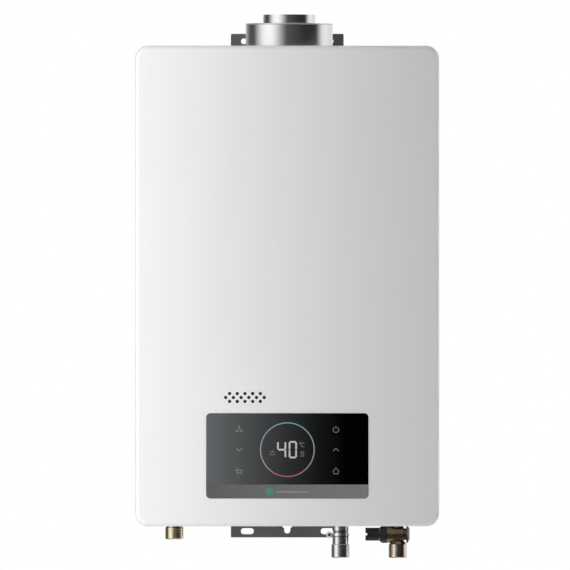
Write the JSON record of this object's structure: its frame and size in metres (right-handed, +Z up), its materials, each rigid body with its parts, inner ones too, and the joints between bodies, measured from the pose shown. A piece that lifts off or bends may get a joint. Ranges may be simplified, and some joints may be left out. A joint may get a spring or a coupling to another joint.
{
  "type": "wall-hung gas water heater",
  "caption": "Wall-hung gas water heater with a sheet steel casing, black touch panel, coaxial flue on top, wall brackets, and gas and water connections below.",
  "frame": {"origin": "midway between the two hanging holes of the top wall bracket, on the wall plane", "axes": "+Z up, +Y into the wall, +X to the right as seen from the front"},
  "size_m": [0.348, 0.1626, 0.6243],
  "materials": {
    "white_enamel": "smooth satin white stoved enamel",
    "case_enamel": "satin off-white stoved enamel",
    "bracket_steel": "grey zinc-passivated sheet",
    "zinc_steel": "bright zinc plate",
    "galvanised_sheet": "galvanised sheet",
    "polished_stainless": "polished stainless sheet",
    "bar_steel": "dull stainless",
    "copper": "bare copper",
    "brass": "turned brass",
    "dark_brass": "dull forged brass",
    "nickel_plate": "bright nickel plate",
    "cast_aluminium": "blasted die casting",
    "black_glass": "black back-printed glass",
    "grey_band": "satin grey strip",
    "black_plastic": "moulded black plastic",
    "grey_plastic": "moulded light grey plastic",
    "circuit_board": "green solder mask",
    "rubber": "moulded rubber",
    "foam_seal": "closed-cell foam",
    "white_ceramic": "glazed ceramic",
    "motor_steel": "black-coated motor can",
    "plunger_steel": "ground steel with a rubber disc"
  },
  "bodies": {
    "heater_body": {"rear_case": "case_enamel", "top_wall_bracket": "bracket_steel", "bottom_wall_bracket": "bracket_steel", "bracket_screws": "zinc_steel", "flue_screws": "zinc_steel", "burner_bracket": "zinc_steel", "electrode_rods": "zinc_steel", "plunger_spring": "zinc_steel", "overheat_switch": "zinc_steel", "burner_box": "galvanised_sheet", "fan_housing": "galvanised_sheet", "fan_inlet_plate": "galvanised_sheet", "flue_hood": "galvanised_sheet", "air_collar": "polished_stainless", "flue_pipe": "polished_stainless", "flue_spacer": "polished_stainless", "burner_bars": "bar_steel", "exchanger_shell": "copper", "exchanger_fins": "copper", "exchanger_bends": "copper", "water_coil": "copper", "hot_pipe": "copper", "hot_outlet": "brass", "gas_jets": "brass", "cold_inlet_body": "dark_brass", "end_plug": "dark_brass", "gas_inlet": "nickel_plate", "gas_clip": "nickel_plate", "gas_outlet_pipe": "nickel_plate", "gas_valve_body": "cast_aluminium", "gas_manifold": "cast_aluminium", "drain_nut": "black_plastic", "flow_sensor": "black_plastic", "gas_solenoid": "black_plastic", "spark_igniter": "black_plastic", "control_box": "grey_plastic", "control_lid": "grey_plastic", "control_board": "circuit_board", "pipe_grommets": "rubber", "cord_grommet": "rubber", "cover_gasket": "foam_seal", "flue_gasket": "foam_seal", "electrode_insulators": "white_ceramic", "fan_motor": "motor_steel"},
    "cover": {"front_cover": "white_enamel", "cover_frame": "zinc_steel", "cover_screws": "zinc_steel", "panel_glass": "black_glass", "panel_band": "grey_band", "display_housing": "black_plastic", "display_board": "circuit_board", "alarm_speaker": "black_plastic"},
    "drain_plug": {"drain_stem": "brass", "drain_seals": "rubber", "inlet_strainer": "bar_steel"},
    "drain_grip": {"drain_knob": "black_plastic"},
    "fan_rotor": {"fan_shaft": "zinc_steel", "fan_impeller": "black_plastic"},
    "turbine": {"flow_turbine": "grey_plastic"},
    "valve_plunger": {"gas_plunger": "plunger_steel"}
  },
  "joints": [
    {"name": "cover_off", "type": "slide", "parent": "heater_body", "child": "cover", "axis": [0, -1, 0], "range_m": [0, 0.15]},
    {"name": "drain_travel", "type": "slide", "parent": "heater_body", "child": "drain_plug", "axis": [-1, 0, 0], "range_m": [0, 0.003]},
    {"name": "drain_turn", "type": "hinge", "parent": "drain_plug", "child": "drain_grip", "pos_m": [0.098, -0.063, -0.5673], "axis": [-1, 0, 0], "range_deg": [0, 720]},
    {"name": "fan_spin", "type": "hinge", "parent": "heater_body", "child": "fan_rotor", "pos_m": [-0.038, -0.06, -0.449], "axis": [0, -1, 0], "continuous": true},
    {"name": "turbine_spin", "type": "hinge", "parent": "heater_body", "child": "turbine", "pos_m": [0.127, -0.063, -0.519], "axis": [0, 0, 1], "continuous": true},
    {"name": "valve_lift", "type": "slide", "parent": "heater_body", "child": "valve_plunger", "axis": [0, 0, 1], "range_m": [0, 0.003], "stiffness_N_per_m": 400, "springref_m": -0.004, "deforming": ["plunger_spring"]}
  ],
  "couplings": [
    {"joint": "drain_turn", "follows": "drain_travel", "rad_per_m": 4188.8}
  ]
}
